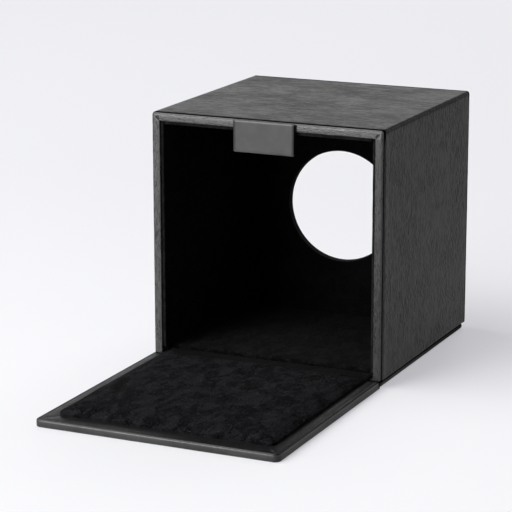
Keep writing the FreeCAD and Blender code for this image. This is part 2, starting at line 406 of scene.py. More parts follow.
@dataclass(frozen=True)
class PlatedSteel:
    """Plated steel of the hidden catch, with fine turning marks."""

    name: str = "magnet_steel"
    slot: str = "magnet_steel"
    dark: Colour = (0.48, 0.48, 0.49)
    light: Colour = (0.62, 0.62, 0.63)
    marks: Point = (0.15, 2.5, 2.5)
    relief: float = 0.01

    def material(self) -> Material:
        """Builds the finish."""
        g = Graph.named(self.name)
        mark = g.cloud(self.marks).ramp(*SPREAD)
        return g.shader({
            "Base Color": g.mix(self.dark, self.light, mark),
            "Metallic": 1.0,
            "Roughness": 0.28 + 0.15 * mark,
            "Normal": g.bump(mark, self.relief),
        })


@dataclass(frozen=True)
class PaleFloor:
    """Floor that looks pale and throws back less light than it shows."""

    name: str = "pale_floor"
    seen: Colour = grey(0.53)
    bounce: Colour = grey(0.22)
    glow_near: Colour = (0.410, 0.410, 0.434)
    glow_far: Colour = (0.328, 0.328, 0.356)
    glow_reach: Span = (-0.32, 0.38)
    sheen_near: Colour = grey(0.215)
    sheen_far: Colour = (0.085, 0.085, 0.089)
    sheen_reach: Span = (-0.2, 0.75)

    def material(self) -> Material:
        """Builds the finish."""
        g = Graph.named(self.name)
        seen = g.rays("Camera", "Transmission")
        place = g.add("TexCoord", out="Object")
        across, deep = (g.add("SeparateXYZ", {}, {"Vector": place}, out=axis) for axis in "XY")
        sheen = g.mix(self.sheen_near, self.sheen_far, (across + deep).ramp(*self.sheen_reach))
        shown = g.mix(self.glow_near, self.glow_far, deep.ramp(*self.glow_reach))
        return g.shader({
            "Base Color": g.mix(self.bounce, self.seen, seen),
            "Roughness": 0.9,
            "Specular IOR Level": 0.0,
            "Emission Color": g.mix(g.mix(grey(0.0), sheen, g.rays("Glossy")), shown, seen),
            "Emission Strength": 1.0,
        })


Finish = Leatherette | Pile | SmoothLeather | Fibre | PlatedSteel

SIDE_SKIN = Leatherette(
    name="leatherette_upright", grain=Grain.UPRIGHT, light=(0.034, 0.034, 0.033), rubbed_highlight=grey(0.075),
    streak_length=7.0, streak_width=3.0, pebble=2.0, streaked=0.3, netted=1.1, relief=0.30,
    specular=0.31, coat=0.5)
# Painted light: the top's cover is a lighter copy of the leatherette, for the lit top
TOP_SKIN_LIT = Leatherette(name="leatherette_across", dark=(0.046, 0.046, 0.045), light=grey(0.004), relief=0.17)
BASE_SKIN = Leatherette(name="leatherette_deep", grain=Grain.DEEP)
FLAP_SKIN = Leatherette(
    name="flap_leatherette", grain=Grain.DEEP, dark=grey(0.002), light=grey(0.010), streak_length=6.0,
    streak_width=1.3, pebble=0.8, streaked=0.8, netted=0.5, relief=0.22, flattened=0.92, roughness=0.42,
    specular=0.55, patchy=0.06)
EDGE_TOP = Leatherette(
    name="edge_leatherette_across", slot="edge_leatherette", dark=grey(0.022), light=(0.060, 0.060, 0.059),
    rubbed_highlight=grey(0.08), streak_length=5.0, streak_width=1.0, pebble=0.7, relief=0.07, roughness=0.30,
    specular=0.60)
# Painted light: the left strips are a lighter copy, as light falls from the left
EDGE_LEFT_LIT = replace(EDGE_TOP, name="edge_leatherette_left_lit", grain=Grain.UPRIGHT, light=(0.115, 0.115, 0.114))
EDGE_RIGHT = replace(EDGE_LEFT_LIT, name="edge_leatherette_right", light=(0.056, 0.056, 0.055))
VELVET = Pile("velvet", "velvet", (0.0004, 0.0004, 0.0005), (0.0112, 0.0112, 0.0121), patch=4.0, sheen=0.02,
              gloss=0.04)
BACK_VELVET = replace(VELVET, name="back_velvet", patch=9.0, dark=(0.0014, 0.0014, 0.0015),
                      light=(0.0052, 0.0052, 0.0056))
SUEDE = Pile("suede", "suede", (0.0003, 0.0003, 0.0004), (0.0172, 0.0172, 0.0194), patch=5.5, nap=0.8,
             relief=0.25, sheen=0.01, gloss=0.04)
HINGE_CLOTH = Pile("hinge_cloth", "hinge_cloth", (0.0014, 0.0014, 0.0015), (0.0055, 0.0055, 0.0058),
                   patch=5.0, sheen=0.03)
HOLE_EDGING = Pile("hole_edging", "hole_edging", (0.018, 0.018, 0.019), (0.030, 0.030, 0.031), patch=4.0,
                   sheen=0.05)
TAB_LEATHER = SmoothLeather()
PAPERED_BOARD = Fibre("papered_board", "papered_board", grey(0.022), (0.042, 0.042, 0.041), length=2.0)
GREY_BOARD = Fibre("grey_board", "grey_board", (0.34, 0.32, 0.29), (0.46, 0.44, 0.41))
CLEAT_WOOD = Fibre("cleat_wood", "cleat_wood", (0.026, 0.025, 0.024), (0.060, 0.058, 0.056), length=18.0,
                   width=0.8, roughness=0.7)
FILLER_PAPER = Fibre("filler_paper", "filler_paper", grey(0.020), grey(0.040), width=0.4)
STEEL = PlatedSteel()


class Wardrobe:
    """Every finish's material, made once."""

    def __init__(self) -> None:
        """Starts empty."""
        self.made: dict[Finish | PaleFloor, Material] = {}

    def material(self, finish: Finish | PaleFloor) -> Material:
        """The material of a finish."""
        if finish not in self.made:
            self.made[finish] = finish.material()
        return self.made[finish]

    def dress(self, finish: Finish, *nodes: str) -> None:
        """Gives CAD nodes that stay as they are their finish.

        Args:
            finish: what they are made of.
            nodes: their names.
        """
        for name in nodes:
            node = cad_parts[name]
            node.data.materials.clear()
            node.data.materials.append(self.material(finish))
            LOG.info("dressed %s in %s", name, finish.name)


WARDROBE = Wardrobe()


class Wall(Enum):
    """A covered wall, by the side that it stands on."""

    LEFT = -1
    RIGHT = 1
    TOP = 0

    @property
    def word(self) -> str:
        """The wall's part of a name."""
        return self.name.lower()


def node_box(node: str) -> tuple[Vector, Vector]:
    """Lowest and highest corner of a CAD node, in millimetres."""
    low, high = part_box(node)
    return low / MM, high / MM


@cache
def case_box() -> tuple[Vector, Vector]:
    """Lowest and highest corner of the covered walls, in millimetres. Mitred nodes stop short of them."""
    foot, half = node_box("wrap_right")[0].z, node_box("wrap_right")[1].x
    front, rear = node_box("band_front_right")[0].y, node_box("band_rear_right")[1].y
    top = node_box("wrap_top")[1].z
    return Vector((-half, front, foot)).freeze(), Vector((half, rear, top)).freeze()


def steps(low: float, high: float, spacing: float) -> list[float]:
    """Even places between two ends, without the ends."""
    count = max(1, round((high - low) / spacing))
    return [low + (high - low) * i / count for i in range(1, count)]


def quarter(count: int) -> list[float]:
    """Angles of a quarter turn in that many steps, with both ends."""
    return [math.pi / 2 * i / count for i in range(count + 1)]


def fade(value: float, start: float, end: float) -> float:
    """Smooth fall from 1 at start to 0 at end, or a rise where end is the lower one."""
    share = min(1.0, max(0.0, (end - value) / (end - start)))
    return share * share * (3.0 - 2.0 * share)


def closeness(distance: float, reach: float) -> float:
    """Straight fall from 1 at no distance to 0 at reach."""
    return min(1.0, max(0.0, 1.0 - distance / reach))


def round_off(distance: float, reach: float) -> float:
    """How far a quarter round has fallen away at a distance from its end, as a share of its depth."""
    return 1.0 - math.sqrt(1.0 - closeness(distance, reach) ** 2)


class Shape:
    """A bmesh in millimetres that becomes one finished piece."""

    def __init__(self) -> None:
        """Starts with no points, and with the numbers that points carry."""
        self.mesh = bmesh.new()
        self.seam = self.mesh.verts.layers.float.new("seam")
        self.shade = self.mesh.verts.layers.float.new("shade")
        self.pressed = self.mesh.verts.layers.float.new("pressed")

    def block(self, low: Iterable[float], high: Iterable[float]) -> None:
        """Adds a box.

        Args:
            low: its lowest corner.
            high: its highest corner.
        """
        low, high = Vector(low), Vector(high)
        made = bmesh.ops.create_cube(self.mesh, size=1.0)["verts"]
        bmesh.ops.scale(self.mesh, vec=high - low, verts=made)
        bmesh.ops.translate(self.mesh, vec=(low + high) / 2, verts=made)

    def row(self, places: Iterable[Point], last: Verts) -> Verts:
        """Adds one row of a sheet.

        Args:
            places: its points.
            last: the row that it is extruded from, or an empty list for the first row.

        Returns:
            The new row's points.
        """
        if not last:
            made = [self.mesh.verts.new(place) for place in places]
            for pair in zip(made, made[1:]):
                self.mesh.edges.new(pair)
            return made
        line = [self.mesh.edges.get(pair) for pair in zip(last, last[1:])]
        fresh = set(bmesh.ops.extrude_edge_only(self.mesh, edges=line)["geom"])
        made = [next(p for e in v.link_edges if (p := e.other_vert(v)) in fresh) for v in last]
        for v, place in zip(made, places):
            v.co = place
        return made

    def edges(self, test: Callable[[Vector], bool]) -> Edges:
        """Edges whose two ends both pass a test."""
        return [e for e in self.mesh.edges if all(test(v.co) for v in e.verts)]

    def line(self, axis: int, a: float, b: float) -> Edges:
        """Edges along an axis, at a place given by the other two coordinates."""
        i, j = (other for other in range(3) if other != axis)
        return self.edges(lambda p: abs(p[i] - a) < NEAR and abs(p[j] - b) < NEAR)

    def level(self, z: float) -> Edges:
        """Edges at a height."""
        return self.edges(lambda p: abs(p.z - z) < NEAR)

    def round(self, edges: Edges, radius: float, segments: int = 4) -> None:
        """Rounds edges to a radius."""
        bmesh.ops.bevel(self.mesh, geom=edges, offset=radius, offset_type="OFFSET", affect="EDGES",
                        segments=segments, profile=0.5, material=-1, clamp_overlap=True)

    def cut(self, place: Iterable[float], normal: Iterable[float], clear: bool = False) -> None:
        """Cuts every face along a plane, and with clear removes what lies beyond it."""
        geometry = self.mesh.verts[:] + self.mesh.edges[:] + self.mesh.faces[:]
        bmesh.ops.bisect_plane(self.mesh, geom=geometry, dist=NEAR / 10, plane_co=Vector(place),
                               plane_no=Vector(normal), clear_outer=clear)

    def slice(self, axis: int, places: Iterable[float]) -> None:
        """Cuts every face across one axis.

        Args:
            axis: the axis.
            places: where along it.
        """
        normal = Vector((0.0, 0.0, 0.0))
        normal[axis] = 1.0
        for place in places:
            self.cut(normal * place, normal)

    def mitre(self, wall: Wall, corner: Vector) -> None:
        """Keeps one wall's part of a sheet that runs over all three, up to the mitres at the top corners.

        Args:
            wall: the wall.
            corner: a point on the right-hand top corner.
        """
        side = wall.value
        if side:
            self.cut((side * corner.x, 0, corner.z), (-side, 0, 1), clear=True)
            self.cut((0, 0, 0), (-side, 0, 0), clear=True)
        else:
            for end in (-1, 1):
                self.cut((end * corner.x, 0, corner.z), (end, 0, -1), clear=True)

    def ripple(self, height: float, spacing: float, where: Callable[[Vector], bool] = lambda p: True) -> None:
        """Moves points along their normals.

        Args:
            height: how far they move at most, up or down.
            spacing: how far apart the swellings lie.
            where: which points move.
        """
        self.mesh.normal_update()
        for v in self.mesh.verts:
            if where(v.co):
                v.co += v.normal * (height * noise.noise(v.co / spacing))

    def mark(self, depth: Callable[[Vector], float]) -> None:
        """Stores how deep in a seam each point lies, from 0 to 1."""
        for v in self.mesh.verts:
            v[self.seam] = min(1.0, max(0.0, depth(v.co)))

    def turn(self, matrix: Matrix) -> None:
        """Moves everything by a matrix."""
        bmesh.ops.transform(self.mesh, matrix=matrix, verts=self.mesh.verts)

    def close(self) -> None:
        """Merges doubles and turns every face outwards."""
        bmesh.ops.remove_doubles(self.mesh, verts=self.mesh.verts, dist=NEAR)
        bmesh.ops.recalc_face_normals(self.mesh, faces=self.mesh.faces)

    def face(self, way: Point) -> None:
        """Merges doubles and turns an open sheet so that most of it faces a way.

        Args:
            way: the direction.
        """
        self.close()
        self.mesh.normal_update()
        if sum(f.normal.dot(way) * f.calc_area() for f in self.mesh.faces) < 0:
            bmesh.ops.reverse_faces(self.mesh, faces=self.mesh.faces)

    def piece(self, name: str, finish: Finish | PaleFloor) -> Piece:
        """Turns the shape into an object in metres.

        Args:
            name: the piece's name.
            finish: what it is made of.

        Returns:
            The object, at the origin.
        """
        bmesh.ops.remove_doubles(self.mesh, verts=self.mesh.verts, dist=WELD)
        bmesh.ops.scale(self.mesh, vec=(MM,) * 3, verts=self.mesh.verts)
        data = bpy.data.meshes.new(name)
        self.mesh.to_mesh(data)
        self.mesh.free()
        data.shade_smooth()
        data.set_sharp_from_angle(angle=math.radians(CREASE))
        data.materials.append(WARDROBE.material(finish))
        made = bpy.data.objects.new(name, data)
        bpy.context.scene.collection.objects.link(made)
        return made


def thicken(piece: Piece, thickness: float) -> None:
    """Gives a sheet a thickness in millimetres, behind the face that shows.

    Args:
        piece: the sheet.
        thickness: how thick it is.
    """
    wall = piece.modifiers.new("thickness", "SOLIDIFY")
    wall.thickness = thickness * MM
    wall.offset = -1.0


def settle(piece: Piece, body: str, finish: Finish, *nodes: str) -> None:
    """Makes a piece ride on a body and stand for CAD nodes.

    Args:
        piece: the finished piece.
        body: the CAD body that it moves with.
        finish: what it is made of; not used.
        nodes: the CAD nodes that it stands for.
    """
    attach(piece, body)
    if nodes:
        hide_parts(*nodes)
    LOG.info("built %s: %d faces", piece.name, len(piece.data.polygons))


@dataclass
class WallCovers:
    """Leatherette round the outside of the three walls, mitred at the corners and rolled in at its rims."""

    sheet: float = 0.34
    front_step: float = 2.5
    rear_step: float = 2.1
    corner_r: float = 1.6
    heel: float = 3.0
    cell: float = 3.5
    sag: float = 0.06
    sag_size: float = 17.0
    # Rims rolled in towards the board
    roll: float = 0.9
    roll_deep: float = 0.32
    roll_rows: Shares = (0.12, 0.3, 0.55, 1.0)
    foot_gap: float = 0.05
    foot_level: float = 0.05
    foot_roll: float = 1.3
    foot_deep: float = 0.9
    foot_rows: Shares = (0.06, 0.15, 0.3, 0.5, 0.75, 1.0)
    # Painted shade: dark line under the top corners
    edge_shade: float = 0.62
    edge_from: float = 0.25
    edge_reach: Span = (1.0, 3.0)
    edge_rows: Shares = (0.4, 0.8, 1.3)
    # Rubbed edges of the top, and of the sides along the front, lighter as wear and as a painted highlight
    edge_rub_highlight: float = 0.16
    edge_rub_highlight_wide: float = 3.5
    edge_rub_highlight_drop: Span = (0.1, 0.6)
    front_rub_highlight: float = 0.19
    front_rub_highlight_wide: Span = (1.5, 9.0)
    front_rub_highlight_drop: Span = (4.0, 1.0)
    # Dark velvet strips standing in for the shade in the seam under the side walls
    seam_low: float = 0.03
    seam_high: float = 0.47
    seam_deep: float = 1.6
    seam_front: float = 0.6
    seam_r: float = 0.1
    wall: float = 3.9
    base_end: float = 1.0
    cap_in: float = 0.4
    cap_lap: float = 0.5
    heel_rows: Shares = (0.2, 0.3, 0.45, 0.6, 0.8, 1.0)

    def rims(self) -> tuple[float, float, float]:
        """Y of the front rim, Y of the rear rim and Z of the foot."""
        low, high = case_box()
        return low.y + self.front_step, high.y - self.rear_step, low.z + self.foot_gap

    def heel_rise(self, y: float) -> float:
        """How far the rounded heel lifts the walls' foot at a place."""
        return self.heel * round_off(case_box()[1].y - y, self.heel)

    def sleeve(self) -> Shape:
        """Open sheet round the walls, with its outer face out.

        Returns:
            The sheet, still flat at its rims.
        """
        low, high = case_box()
        front, rear, foot = self.rims()
        outline = ((low.x, foot), (low.x, high.z), (high.x, high.z), (high.x, foot))
        shape = Shape()
        first = shape.row([(x, front, z) for x, z in outline], [])
        shape.row([(x, rear, z) for x, z in outline], first)
        for x in (low.x, high.x):
            shape.round(shape.line(1, x, high.z), self.corner_r, 8)
        rolls = [self.roll * share for share in self.roll_rows]
        toes = [foot + self.foot_roll * share for share in self.foot_rows]
        shoulder = high.z - self.corner_r
        shape.slice(1, steps(front, rear, self.cell) + [front + r for r in rolls] + [rear - r for r in rolls])
        shape.slice(0, steps(low.x + self.corner_r, high.x - self.corner_r, self.cell))
        shape.slice(2, steps(foot, shoulder, self.cell) + toes + [shoulder - row for row in self.edge_rows])
        shape.face((0, 0, 1))
        return shape

    def roll_in(self, shape: Shape) -> None:
        """Ripples the sheet, rolls its rims in and stores where painted shade and painted highlights on rubbed
        edges go.

        Args:
            shape: the flat sheet.
        """
        _, high = case_box()
        front, rear, foot = self.rims()
        rims = {}
        for v in shape.mesh.verts:
            rims[v] = min(v.co.y - front, rear - v.co.y), v.co.z - foot
            drop = high.z - v.co.z
            if abs(v.co.x) > high.x - self.corner_r:
                # Painted shade in a line under the top corners
                dark = fade(drop, self.edge_from, 0.0) * fade(drop, *self.edge_reach)
                v[shape.shade] = self.edge_shade * dark
        shape.ripple(self.sag, self.sag_size)
        shape.mesh.normal_update()
        for v in shape.mesh.verts:
            to_end, to_toe = rims[v]
            sunk = max(self.roll_deep * round_off(to_end, self.roll),
                       self.foot_deep * round_off(to_toe, self.foot_roll))
            v.co -= Vector((v.normal.x, 0.0, v.normal.z)) * sunk
            if v.co.z < foot + self.foot_level:
                v.co.z += self.heel_rise(v.co.y)
            inwards, drop = high.x - abs(v.co.x), high.z - v.co.z
            # Wear and a painted highlight along the top edges and along the sides' front
            edge = fade(inwards, self.corner_r / 2, self.edge_rub_highlight_wide) * fade(drop, *self.edge_rub_highlight_drop)
            worn_and_lit = fade(v.co.y - front, *self.front_rub_highlight_wide) * fade(drop, *self.front_rub_highlight_drop)
            # Rims and foot: a painted highlight that turns to painted shade at their ends
            v[shape.seam] = max(closeness(to_end, self.roll) ** 3, closeness(to_toe, self.foot_roll) ** 2,
                                self.edge_rub_highlight * edge, self.front_rub_highlight * worn_and_lit)

    def cover(self, wall: Wall, finish: Finish) -> None:
        """One wall's part of the sleeve, cut off at the corners' mitres.

        Args:
            wall: the wall.
            finish: what its cover is made of.
        """
        shape = self.sleeve()
        self.roll_in(shape)
        shape.mitre(wall, case_box()[1])
        piece = shape.piece("cover_" + wall.word, finish)
        thicken(piece, self.sheet)
        settle(piece, CASE, finish, "wrap_" + wall.word)

    def shade_strips(self) -> None:
        """Dark velvet strips standing in for the shade in the seam between side walls and base, and under the
        walls behind the base.
        """
        low, high = case_box()
        rear = node_box("base_wrap")[1].y - self.base_end
        strips = ((low.y + self.seam_front, rear, self.seam_deep),
                  (rear - self.cap_lap, high.y - self.cap_in, self.cap_in))
        shape = Shape()
        for side in (-1, 1):
            for front, back, deep in strips:
                ends = sorted((side * (high.x - self.wall), side * (high.x - deep)))
                shape.block((ends[0], front, low.z + self.seam_low), (ends[1], back, low.z + self.seam_high))
        shape.round(shape.mesh.edges[:], self.seam_r, 2)
        shape.slice(1, [high.y - self.heel * share for share in self.heel_rows])
        for v in shape.mesh.verts:
            v.co.z += self.heel_rise(v.co.y)
        settle(shape.piece("foot_shade_strips", VELVET), CASE, VELVET)

    def build(self) -> None:
        """Builds the three covers and the dark strips of painted shade at their foot."""
        for wall, finish in zip(Wall, (SIDE_SKIN, SIDE_SKIN, TOP_SKIN_LIT)):
            self.cover(wall, finish)
        self.shade_strips()


@dataclass
class EdgeBands:
    """Leatherette strips pulled round the front and rear edges of the walls, mitred at the top corners."""

    sheet: float = 0.34
    wall: float = 4.0
    corner_r: float = 1.6
    corner_turns: int = 8
    heel: float = 3.0
    cell: float = 3.0
    pucker: float = 0.05
    pucker_size: float = 5.0
    # Section
    lip: float = 2.0
    tuck: float = 2.7
    tuck_deep: float = 0.45
    outer_r: float = 1.5
    inner_r: float = 0.4
    round_turns: int = 6
    face_rows: Shares = (0.33, 0.67)
    bead: float = 0.35
    bead_deep: float = 0.85
    bead_slope: float = 0.1
    turn_in: float = 13.9
    rear_air: float = 0.1
    # Painted shade along the roundings, at the foot and on the top strip
    side_shaded: Span = (0.25, 0.85)
    lip_shaded: float = 0.52
    fold_shaded: float = 0.72
    foot_shaded: float = 0.85
    foot_reach: Span = (0.35, 1.2)
    top_shaded: Span = (0.12, 0.62)
    top_reach: float = 6.0

    def profile(self, fold: float) -> list[tuple[float, float]]:
        """Section of a strip, from outside to inside.

        Args:
            fold: how far it runs back on the inner side.

        Returns:
            Places as a depth under the wall's outer face and a way back from the front.
        """
        inner = self.wall + self.bead
        turns = quarter(self.round_turns)
        outer = [(self.outer_r * (1 - math.cos(t)), self.outer_r * (1 - math.sin(t))) for t in turns]
        rim = [(inner - self.inner_r * (1 - math.sin(t)), self.inner_r * (1 - math.cos(t))) for t in turns]
        middle = [(outer[-1][0] + (rim[0][0] - outer[-1][0]) * share, 0.0) for share in self.face_rows]
        under = [(inner, self.bead_deep), (self.wall, self.bead_deep + self.bead_slope), (self.wall, fold)]
        return [(self.tuck_deep, self.tuck), (0.0, self.lip), *outer, *middle, *rim, *under]

    def path(self, depth: float) -> list[tuple[float, float]]:
        """Course of a frame from the left foot over the top to the right foot.

        Args:
            depth: how far it lies under the walls' outer face.

        Returns:
            Places (x, z), as many at every depth.
        """
        low, high = case_box()
        full = self.wall + self.bead
        bend, held = max(self.corner_r - depth, 0.0), max(depth, self.corner_r)
        turns = quarter(self.corner_turns)
        corner = [(high.x - held + bend * math.cos(t), high.z - held + bend * math.sin(t)) for t in turns]
        foot = [low.z, *(low.z + rise for rise in self.foot_reach)]
        heights = [*foot, *steps(low.z, high.z - full, self.cell), high.z - full]
        widths = [full - high.x, *steps(full - high.x, high.x - full, self.cell), high.x - full]
        half = [(high.x - depth, z) for z in heights] + corner
        return [(-x, z) for x, z in half] + [(x, high.z - depth) for x in widths] + half[::-1]

    def painted_shade(self, height: float, drop: float, depth: float, way: float) -> float:
        """How much painted shade a place of a strip gets.

        Args:
            height: how far it lies over the foot.
            drop: how far it lies under the top.
            depth: how far it lies under the walls' outer face.
            way: how far it lies behind the front of the strip.

        Returns:
            The depth that its seam mark stores.
        """
        lip = self.lip_shaded + (self.fold_shaded - self.lip_shaded) * fade(way, self.outer_r / 2, self.outer_r)
        upright = lip * fade(depth, *self.side_shaded)
        across = fade(depth, *self.top_shaded)
        shaded = upright + (across - upright) * fade(drop, self.outer_r, self.top_reach)
        return max(shaded, self.foot_shaded * fade(height, *self.foot_reach))

    def frame_sheet(self, front: float, back: int, fold: float) -> Shape:
        """Open sheet of a whole frame, not yet cut at its mitres.

        Args:
            front: Y of the frame's face.
            back: 1 where the strips run back along +Y, or -1.
            fold: how far they run back inside.

        Returns:
            The sheet with its front face out.
        """
        low, high = case_box()
        shape = Shape()
        row = []
        for depth, way in self.profile(fold):
            foot = low.z + (self.heel * round_off(way, self.heel) if back < 0 else 0.0)
            row = shape.row([(x, front + back * way, max(z, foot)) for x, z in self.path(depth)], row)
            for v in row:
                # Painted shade, stored in the seam mark
                v[shape.seam] = self.painted_shade(v.co.z - low.z, high.z - v.co.z, depth, way)
        shape.face((0, -back, 0))
        shape.ripple(self.pucker, self.pucker_size)
        return shape

    def strips(self, end: str, front: float, back: int, fold: float) -> None:
        """The three strips of the front or rear frame.

        Args:
            end: front or rear.
            front: Y of the frame's face.
            back: 1 where the strips run back along +Y, or -1.
            fold: how far they run back inside.
        """
        for wall, finish in zip(Wall, (EDGE_LEFT_LIT, EDGE_RIGHT, EDGE_TOP)):
            shape = self.frame_sheet(front, back, fold)
            shape.mitre(wall, case_box()[1])
            node = f"band_{end}_{wall.word}"
            piece = shape.piece(node + "_skin", finish)
            thicken(piece, self.sheet)
            settle(piece, CASE, finish, node)

    def build(self) -> None:
        """Builds the front frame and the rear frame."""
        low, high = case_box()
        self.strips("front", low.y, 1, self.turn_in)
        self.strips("rear", high.y, -1, high.y - node_box("partition_board")[1].y - self.rear_air)


@dataclass
class BaseSlab:
    """Leatherette-covered slab that the case stands on."""

    corner: float = 1.6
    under_edge: float = 1.2
    top_edge: float = 0.3
    longer: float = 4.0
    cell: float = 5.0
    sag: float = 0.05
    sag_size: float = 11.0
    sag_from: float = 0.3
    # Painted shade on the slab, growing from the front to the rear
    shade_front: float = 0.25
    shade_rear: float = 0.80

    def build(self) -> None:
        """Builds the slab's cover, which reaches back to the walls' rounded heels."""
        low, high = node_box("base_wrap")
        high.y += self.longer
        shape = Shape()
        shape.block(low, high)
        for x in (low.x, high.x):
            for y in (low.y, high.y):
                shape.round(shape.line(2, x, y), self.corner, 5)
        shape.round(shape.level(low.z), self.under_edge)
        shape.round(shape.level(high.z), self.top_edge)
        for axis in (0, 1):
            shape.slice(axis, steps(low[axis], high[axis], self.cell))
        # Painted shade, darker towards the rear
        for v in shape.mesh.verts:
            back = (v.co.y - low.y) / (high.y - low.y)
            v[shape.shade] = self.shade_front + (self.shade_rear - self.shade_front) * back
        shape.ripple(self.sag, self.sag_size, lambda p: low.z + self.sag_from < p.z < high.z - self.sag_from)
        settle(shape.piece("base_cover", BASE_SKIN), CASE, BASE_SKIN, "base_wrap")


@dataclass
class VelvetLining:
    """Velvet-covered cards on the floor, the sides and the top of the cavity."""

    front_r: float = 0.8
    cell: float = 4.0
    softness: float = 0.09
    soft_size: float = 6.0
    soft_reach: float = 6.0

    def card(self, node: str) -> None:
        """One lining card with its cloth folded round its front end.

        Args:
            node: the CAD node that it stands for.
        """
        low, high = node_box(node)
        shape = Shape()
        shape.block(low, high)
        shape.round(shape.edges(lambda p: p.y < low.y + NEAR), self.front_r, 5)
        for axis in (0, 2, 1):
            if high[axis] - low[axis] > 2 * self.cell:
                shape.slice(axis, steps(low[axis], high[axis], self.cell))
        shape.ripple(self.softness, self.soft_size, lambda p: p.y < low.y + self.soft_reach)
        # Painted highlight on the front lips of the side and top cards
        if node != "lining_floor":
            shape.mark(lambda p: closeness(p.y - low.y, self.front_r))
        settle(shape.piece(node + "_velvet", VELVET), CASE, VELVET, node)

    def build(self) -> None:
        """Builds the four cards."""
        for place in ("floor", "left", "right", "top"):
            self.card("lining_" + place)


@dataclass
class Partition:
    """Velvet on the rear board, the strip round its hole and the wooden cleats behind it."""

    turns: int = 128
    strip: float = 0.4
    strip_fit: float = 0.02
    lip: float = 0.28
    cleat_edge: float = 0.5
    cleat_cell: float = 6.0
    cleat_rough: float = 0.06
    cleat_rough_size: float = 8.0

    def velvet(self) -> None:
        """Velvet sheet with its round hole."""
        low, high = node_box("partition_lining")
        ring_low, ring_high = node_box("hole_edge")
        middle = (ring_low + ring_high) / 2
        outline = ((low.x, low.z), (high.x, low.z), (high.x, high.z), (low.x, high.z))
        shape = Shape()
        corners = shape.row([(x, low.y, z) for x, z in outline], [])
        shape.mesh.edges.new((corners[-1], corners[0]))
        circle = Matrix.Translation((middle.x, low.y, middle.z)) @ Matrix.Rotation(math.pi / 2, 4, "X")
        bmesh.ops.create_circle(shape.mesh, segments=self.turns, radius=ring_high.x - middle.x, matrix=circle)
        bmesh.ops.triangle_fill(shape.mesh, edges=shape.mesh.edges[:], use_beauty=True)
        made = bmesh.ops.extrude_face_region(shape.mesh, geom=shape.mesh.faces[:])["geom"]
        bmesh.ops.translate(shape.mesh, vec=(0, high.y - low.y, 0),
                            verts=[v for v in made if isinstance(v, bmesh.types.BMVert)])
        shape.close()
        settle(shape.piece("partition_velvet", BACK_VELVET), CASE, BACK_VELVET, "partition_lining")

    def edging(self) -> None:
        """Strip bent round the inside of the hole, with rounded lips."""
        low, high = node_box("hole_edge")
        middle = (low + high) / 2
        outer, inner = high.x - middle.x - self.strip_fit, high.x - self.strip
        section = ((inner, low.y), (outer, low.y), (outer, high.y), (inner, high.y))
        shape = Shape()
        points = [shape.mesh.verts.new((r, y, middle.z)) for r, y in section]
        shape.mesh.faces.new(points)
        bmesh.ops.bevel(shape.mesh, geom=[points[0], points[3]], offset=self.lip, offset_type="OFFSET",
                        affect="VERTICES", segments=4, profile=0.5, material=-1)
        geometry = shape.mesh.verts[:] + shape.mesh.edges[:] + shape.mesh.faces[:]
        bmesh.ops.spin(shape.mesh, geom=geometry, cent=(0, 0, middle.z), axis=(0, 1, 0), angle=2 * math.pi,
                       steps=self.turns, use_merge=True)
        sections = [f for f in shape.mesh.faces if len(f.verts) > 4]
        bmesh.ops.delete(shape.mesh, geom=sections, context="FACES_ONLY")
        shape.close()
        settle(shape.piece("hole_edging_strip", HOLE_EDGING), CASE, HOLE_EDGING, "hole_edge")

    def cleat(self, wall: Wall) -> None:
        """One stained wooden strip, glued behind the board.

        Args:
            wall: the wall that it lies along.
        """
        node = "cleat_" + wall.word
        grain = Grain.ACROSS if wall is Wall.TOP else Grain.UPRIGHT
        low, high = node_box(node)
        shape = Shape()
        shape.block(low, high)
        shape.round(shape.mesh.edges[:], self.cleat_edge, 3)
        shape.slice(grain.value, steps(low[grain.value], high[grain.value], self.cleat_cell))
        shape.ripple(self.cleat_rough, self.cleat_rough_size)
        finish = replace(CLEAT_WOOD, name="cleat_wood_" + grain.name.lower(), grain=grain)
        settle(shape.piece(node + "_strip", finish), CASE, finish, node)

    def build(self) -> None:
        """Builds the velvet, the edging and the cleats."""
        self.velvet()
        self.edging()
        for wall in Wall:
            self.cleat(wall)


